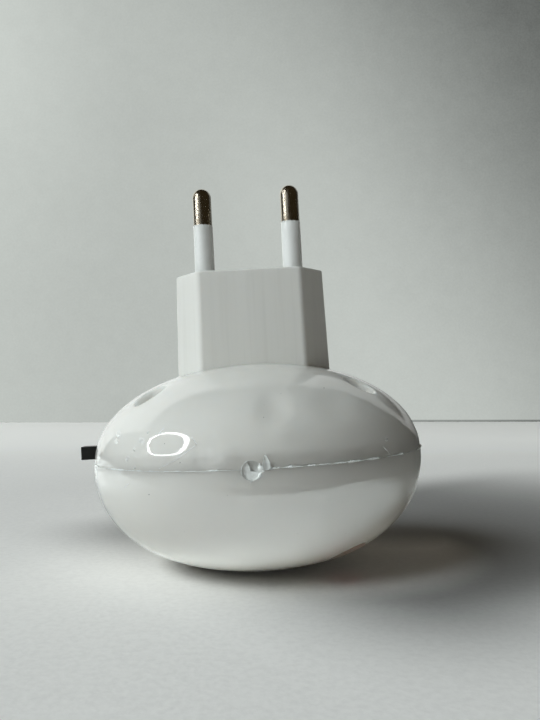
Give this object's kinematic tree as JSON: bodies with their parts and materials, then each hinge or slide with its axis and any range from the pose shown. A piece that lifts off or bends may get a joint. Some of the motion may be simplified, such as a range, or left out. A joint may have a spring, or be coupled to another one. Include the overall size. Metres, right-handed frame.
{
  "type": "plug-in night light",
  "caption": "Glossy white night light: a flattened round two-part case with a slide switch at its rim, on a six-sided plug body with two parallel round pins.",
  "frame": {"origin": "middle of the small flat on the front dome, on which the light stands with its pins up", "axes": "+Z from the front dome to the pin tips, X along the line of the two pins with the switch on the -X side, and the port on the parting line on the -Y side"},
  "size_m": [0.071, 0.068, 0.08],
  "materials": {
    "rear_white": "glossy milky white moulding",
    "front_white": "glossy translucent white moulding",
    "plug_white": "satin warm white moulding",
    "sleeve_white": "semi-gloss white",
    "pin_nickel": "nickel plated, polished",
    "screw_zinc": "zinc plated",
    "keeper_white": "matte",
    "board_brown": "bare phenolic laminate",
    "switch_steel": "tinned sheet",
    "switch_laminate": "matte",
    "lever_black": "satin black moulding",
    "contact_silver": "silver plated",
    "led_clear": "water clear resin",
    "lead_tin": "tinned wire",
    "film_yellow": "matte epoxy case",
    "can_sleeve": "shrunk sleeve",
    "fuse_blue": "lacquer",
    "bleed_tan": "lacquer",
    "diode_black": "moulded epoxy",
    "solder": "solder",
    "wire_brown": "soft insulation",
    "wire_blue": "soft insulation",
    "wire_copper": "tinned copper strands"
  },
  "bodies": {
    "housing": {"rear_shell": "rear_white", "front_shell": "front_white", "plug_body": "plug_white", "pin_keeper": "keeper_white", "left_pin": "pin_nickel", "right_pin": "pin_nickel", "left_pin_sleeve": "sleeve_white", "right_pin_sleeve": "sleeve_white", "keeper_screw": "screw_zinc", "flange_screws": "screw_zinc", "case_screws": "screw_zinc", "circuit_board": "board_brown", "switch_can": "switch_steel", "switch_base": "switch_laminate", "switch_terminals": "contact_silver", "led_1": "led_clear", "led_2": "led_clear", "led_3": "led_clear", "led_4": "led_clear", "led_leads": "lead_tin", "film_capacitor": "film_yellow", "smoothing_capacitor": "can_sleeve", "fuse_resistor": "fuse_blue", "bleed_resistor": "bleed_tan", "diode_1": "diode_black", "diode_2": "diode_black", "diode_3": "diode_black", "diode_4": "diode_black", "component_leads": "lead_tin", "solder_joints": "solder", "left_wire": "wire_brown", "right_wire": "wire_blue", "wire_ends": "wire_copper"},
    "lever": {"switch_lever": "lever_black", "switch_contact": "contact_silver"}
  },
  "joints": [
    {"name": "switch_slide", "type": "slide", "parent": "housing", "child": "lever", "axis": [0, 1, 0], "range_m": [0, 0.0025]}
  ]
}
